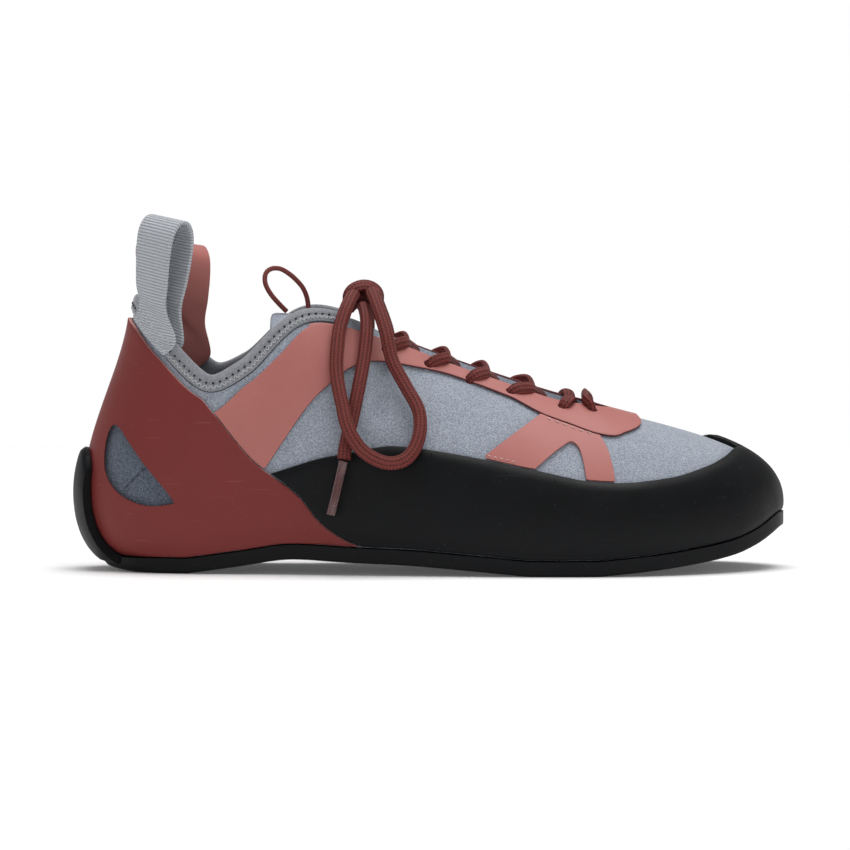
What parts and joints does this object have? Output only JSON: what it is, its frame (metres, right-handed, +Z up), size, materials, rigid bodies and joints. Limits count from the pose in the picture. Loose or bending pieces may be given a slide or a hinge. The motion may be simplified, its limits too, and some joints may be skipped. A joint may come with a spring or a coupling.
{
  "type": "climbing shoe",
  "caption": "Low lace-up climbing shoe for the right foot: suede upper, rubber rand and heel sling, smooth sole, webbing pull loops and a tied bow.",
  "frame": {"origin": "on the floor plane, in the middle of the flat spot under the heel", "axes": "+X towards the toe, +Y towards the inner (medial) side, +Z up from the sole"},
  "size_m": [0.2621, 0.0919, 0.1305],
  "materials": {
    "grey_suede": "light blue-grey napped suede",
    "black_rubber": "smooth satin black climbing rubber",
    "maroon_rubber": "matte dark red rubber",
    "coral_microfibre": "smooth matte coral microfibre",
    "grey_knit": "stretch knit, mid grey",
    "grey_webbing": "ribbed flat webbing",
    "lace_braid": "braided dark rust lace"
  },
  "bodies": {
    "root": {"upper": "grey_suede", "tongue": "grey_suede", "outsole": "black_rubber", "rand": "black_rubber", "heel_sling": "maroon_rubber", "eyestay": "coral_microfibre", "fork_outer": "coral_microfibre", "fork_inner": "coral_microfibre", "pull_loop_inner": "coral_microfibre", "collar_binding": "grey_knit", "insole": "grey_knit", "pull_loop_outer": "grey_webbing", "lace_bar": "lace_braid", "lace_crossing_1": "lace_braid", "lace_crossing_2": "lace_braid", "lace_crossing_3": "lace_braid", "lace_crossing_4": "lace_braid", "lace_crossing_5": "lace_braid", "lace_knot": "lace_braid", "lace_loop_outer": "lace_braid", "lace_end_outer": "lace_braid", "aglet_outer": "lace_braid", "lace_loop_inner": "lace_braid", "lace_end_inner": "lace_braid", "aglet_inner": "lace_braid", "tongue_pull_cord": "lace_braid"}
  },
  "joints": []
}
